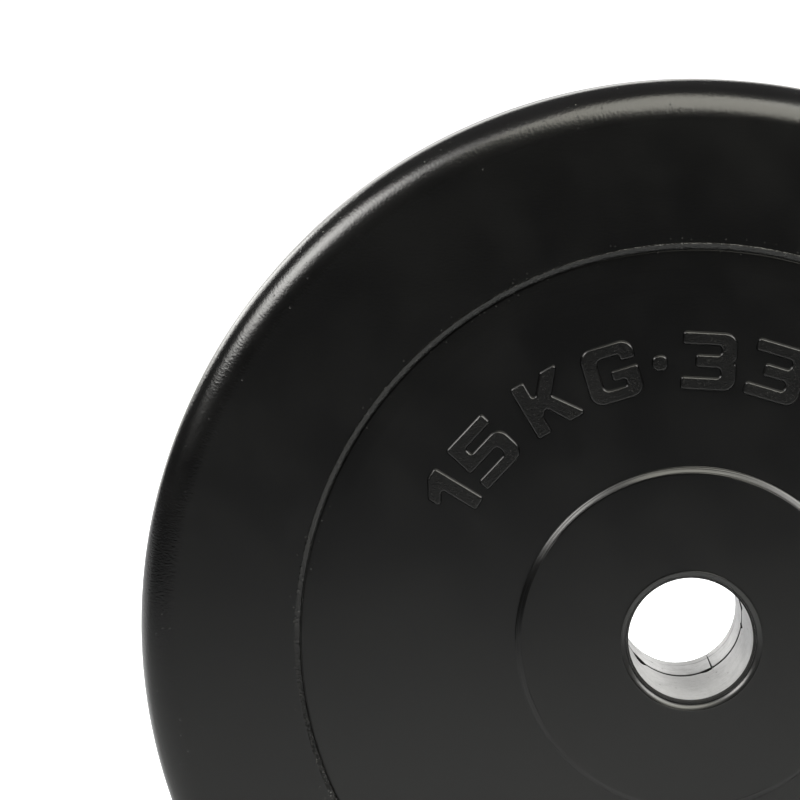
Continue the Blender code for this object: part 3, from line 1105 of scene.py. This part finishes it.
def add_softbox(
    name, aim, azimuth, elevation, distance, across, tall, spread, radiance, roll=0.0, tint=PALE
):
    """Rectangular light of even brightness that the camera itself doesn't see.

    Its middle lies a distance from its aim, in the direction of the azimuth, from -Y towards +X, and
    the elevation. Across and tall are the angles that its sides fill as seen from there, and roll turns
    it about that direction. A spread under 180 keeps its light near the aim, as a grid does: with half
    the spread a, the power is pi times radiance and area, times 1 - a / tan a. All angles are in degrees.
    """
    turn, rise = math.radians(azimuth), math.radians(elevation)
    outwards = Vector((math.sin(turn) * math.cos(rise), -math.cos(turn) * math.cos(rise), math.sin(rise)))
    data = bpy.data.lights.new(name, "AREA")
    data.shape = "RECTANGLE"
    data.size = 2 * distance * math.tan(math.radians(across) / 2)
    data.size_y = 2 * distance * math.tan(math.radians(tall) / 2)
    data.spread = math.radians(spread)
    kept = 1 - data.spread / 2 / math.tan(data.spread / 2)
    data.energy = radiance * math.pi * data.size * data.size_y * kept
    data.color = tint
    lamp = bpy.data.objects.new(name, data)
    lamp.location = Vector(aim) + outwards * distance
    facing = (-outwards).to_track_quat("-Z", "Y") @ Quaternion((0.0, 0.0, 1.0), math.radians(roll))
    lamp.rotation_euler = facing.to_euler()
    lamp.visible_camera = False
    bpy.context.scene.collection.objects.link(lamp)


def add_floor(colours):
    """Wide flat floor under the plate."""
    reach, points = 6.0, 25
    along = np.linspace(-reach, reach, points)
    x, y = np.meshgrid(along, along, indexing="ij")
    grid = np.stack([x, y, np.full_like(x, FLOOR_LEVEL)], axis=-1)
    mesh = bpy.data.meshes.new("studio_floor")
    mesh.from_pydata(grid.reshape(-1, 3), [], grid_faces(points, points, False))
    floor = bpy.data.objects.new("studio_floor", mesh)
    bpy.context.scene.collection.objects.link(floor)
    mesh.materials.append(floor_finish("pale_floor", colours))


def set_surround(colours):
    """White where the camera looks past the stage, and a dark studio for everything that reflects it.

    The studio brightens from its walls to its ceiling as a direction's upward part goes from low to high.
    """
    low, high = 0.3, 0.9
    world = bpy.data.worlds.new("studio")
    bpy.context.scene.world = world
    world.use_nodes = True
    studio = ShaderTree(world.node_tree)
    direction = studio.node("ShaderNodeTexCoord", {}, {}, "Generated")
    height = studio.node("ShaderNodeSeparateXYZ", {}, {"Vector": direction}, "Z")
    inputs = {"Value": height, "From Min": low, "From Max": high}
    inputs |= {"To Min": colours.walls, "To Max": colours.ceiling}
    dark = studio.node("ShaderNodeMapRange", {}, inputs)
    seen = studio.node("ShaderNodeLightPath", {}, {}, "Is Camera Ray")
    strength = dark * (1 - seen) + seen * colours.beyond
    studio.feed(world.node_tree.nodes["Background"], {"Color": (1.0, 1.0, 1.0), "Strength": strength})


def add_camera():
    """Camera at the photograph's place."""
    data = bpy.data.cameras.new("camera")
    data.lens = CAMERA_LENS
    data.sensor_width = CAMERA_SENSOR
    camera = bpy.data.objects.new("camera", data)
    camera.location = CAMERA_PLACE
    camera.rotation_euler = [math.radians(turn) for turn in CAMERA_TURN]
    bpy.context.scene.collection.objects.link(camera)
    bpy.context.scene.camera = camera


class WEIGHTPLATE_OT_stage(bpy.types.Operator):
    """Make the floor, the studio lights and the camera"""

    bl_idname = "weight_plate.stage"
    bl_label = "Stage"

    def execute(self, context):
        colours = context.scene.weight_plate.stage
        add_floor(colours)
        for softbox in SOFTBOXES:
            add_softbox(**softbox)
        set_surround(colours)
        add_camera()
        context.scene.view_settings.view_transform = "Standard"
        return {"FINISHED"}


class WEIGHTPLATE_PT_panel(bpy.types.Panel):
    """Sizes, colours and steps of the weight plate"""

    bl_label = "Weight Plate"
    bl_idname = "WEIGHTPLATE_PT_panel"
    bl_space_type = "VIEW_3D"
    bl_region_type = "UI"
    bl_category = "Weight Plate"

    def draw(self, context):
        settings = context.scene.weight_plate
        for group_name in ("moulding", "marks", "lining", "finish", "stage"):
            group = getattr(settings, group_name)
            box = self.layout.box()
            box.label(text=group_name.capitalize())
            for setting in group.bl_rna.properties:
                if setting.identifier not in {"rna_type", "name"}:
                    box.prop(group, setting.identifier)
        for operator in OPERATORS:
            self.layout.operator(operator.bl_idname)


GROUPS = (
    MouldingSettings, MarkSettings, LiningSettings, FinishSettings, StageSettings, WeightPlateSettings
)
OPERATORS = (
    WEIGHTPLATE_OT_moulded_body,
    WEIGHTPLATE_OT_raised_marks,
    WEIGHTPLATE_OT_lining,
    WEIGHTPLATE_OT_anchor,
    WEIGHTPLATE_OT_stage,
)


def register():
    for item in (*GROUPS, *OPERATORS, WEIGHTPLATE_PT_panel):
        bpy.utils.register_class(item)
    bpy.types.Scene.weight_plate = PointerProperty(type=WeightPlateSettings)


def unregister():
    del bpy.types.Scene.weight_plate
    for item in reversed((*GROUPS, *OPERATORS, WEIGHTPLATE_PT_panel)):
        bpy.utils.unregister_class(item)


def main():
    """Make every piece in order."""
    register()
    bpy.ops.weight_plate.moulded_body()
    bpy.ops.weight_plate.raised_marks()
    bpy.ops.weight_plate.lining()
    bpy.ops.weight_plate.anchor()
    bpy.ops.weight_plate.stage()


if __name__ == "__main__":
    main()
